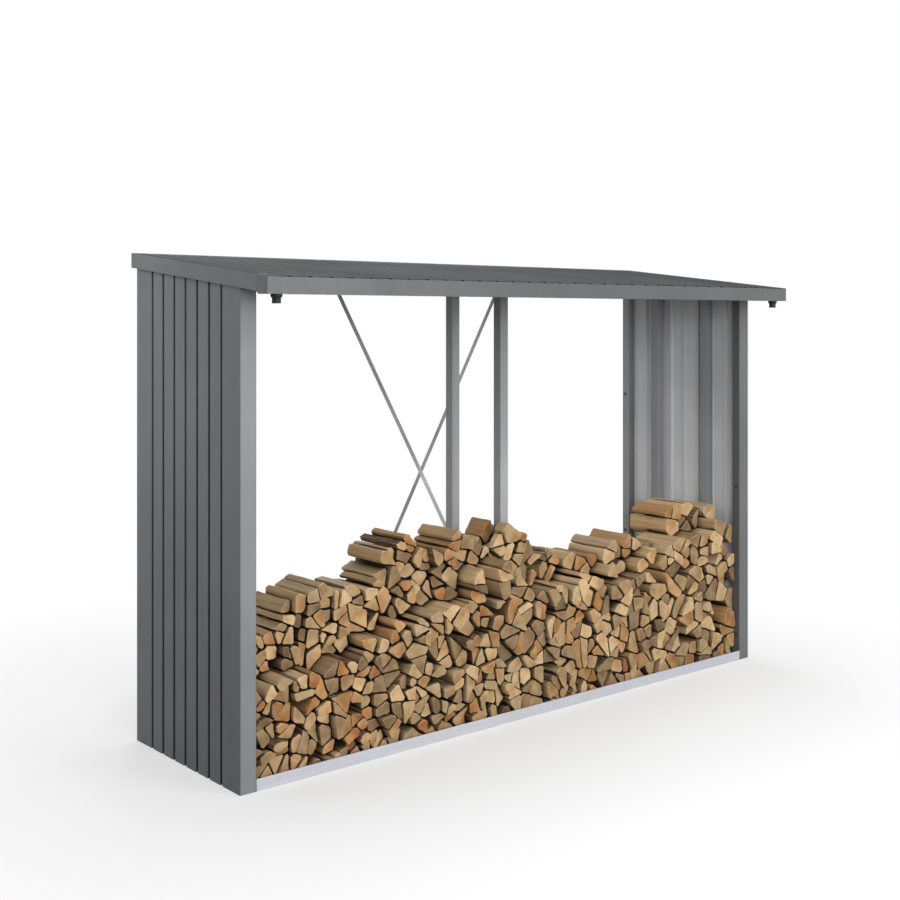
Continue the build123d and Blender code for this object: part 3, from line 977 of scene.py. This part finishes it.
def fasten():
    zinc = bright_metal("zinc_bolts", zinc_tints, zinc_metallic)
    bolt_posts(zinc)
    screw_trims(zinc)


def off_store(shade, place):
    """One on the floor outside the store's foot and zero under the store."""
    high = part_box("rear_base_rail")[1]
    parts = shade.split(place)
    beside = shade.math("GREATER_THAN", shade.math("ABSOLUTE", parts["X"]), high.x)
    before = shade.math("LESS_THAN", parts["Y"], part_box("front_sill")[0].y)
    behind = shade.math("GREATER_THAN", parts["Y"], high.y)
    return shade.math("MAXIMUM", beside, shade.math("MAXIMUM", before, behind))


def pale_floor(name):
    """A pale floor that shows white to the camera and keeps a soft shadow near the store."""
    shade = Shade(bpy.data.materials.new(name))
    place = shade.place()
    in_sight = shade.in_sight()
    colour = shade.mix(in_sight, linear(floor_bounce_tint), linear(floor_tint))
    shade.finish({"Base Color": colour, "Roughness": floor_roughness, "Specular IOR Level": matt_gloss})
    white = shade.span(shade.length(place), *floor_white_stretch)
    white = shade.math("MULTIPLY", white, off_store(shade, place))
    glow = shade.node("Emission", {"Color": linear(white_tint), "Strength": 1.0}).outputs[0]
    share = shade.math("MULTIPLY", in_sight, white)
    shade.blend(share, shade.nodes["Principled BSDF"].outputs[0], glow, "Material Output")
    return shade.owner


def lay_floor():
    mesh = bpy.data.meshes.new("floor")
    ways = ((-1, -1), (1, -1), (1, 1), (-1, 1))
    mesh.from_pydata([(x * floor_reach, y * floor_reach, -floor_drop) for x, y in ways], [], [(0, 1, 2, 3)])
    mesh.materials.append(pale_floor("pale_floor"))
    floor = bpy.data.objects.new("floor", mesh)
    bpy.context.scene.collection.objects.link(floor)


def light_world():
    """Soft light all round, strongest at the horizon; the camera and reflections see white instead."""
    world = bpy.data.worlds.new("studio")
    bpy.context.scene.world = world
    shade = Shade(world)
    rise = shade.split(shade.node("TexCoord", {}).outputs["Generated"])["Z"]
    level = shade.span(rise, 0.0, 1.0, horizon_light, zenith_light)
    soft = shade.node("Background", {"Color": linear(sky_tint), "Strength": level}).outputs[0]
    white = shade.node("Background", {"Color": linear(white_tint), "Strength": 1.0}).outputs[0]
    shade.blend(shade.in_sight(), soft, white, "World Output")


def add_panel(name, place, aim, width, height, power):
    """A soft light panel at a place, turned to a point."""
    light = bpy.data.lights.new(name, "AREA")
    light.shape = "RECTANGLE"
    light.size = width
    light.size_y = height
    light.energy = power
    panel = bpy.data.objects.new(name, light)
    panel.location = place
    panel.rotation_mode = "QUATERNION"
    panel.rotation_quaternion = (Vector(aim) - Vector(place)).to_track_quat("-Z", "Y")
    panel.visible_camera = False
    bpy.context.scene.collection.objects.link(panel)


def set_lights():
    light_world()
    for name, panel in panels.items():
        add_panel(name, *panel)


def set_camera():
    data = bpy.data.cameras.new("camera")
    data.sensor_width = sensor_width
    data.lens = lens_length
    data.shift_y = lens_shift
    camera = bpy.data.objects.new("camera", data)
    camera.location = eye
    camera.rotation_euler = (math.pi / 2, 0.0, eye_turn)
    bpy.context.scene.collection.objects.link(camera)
    bpy.context.scene.camera = camera


paint_nodes()
stack_firewood()
fasten()
lay_floor()
set_lights()
set_camera()
bpy.context.scene.view_settings.view_transform = "Standard"
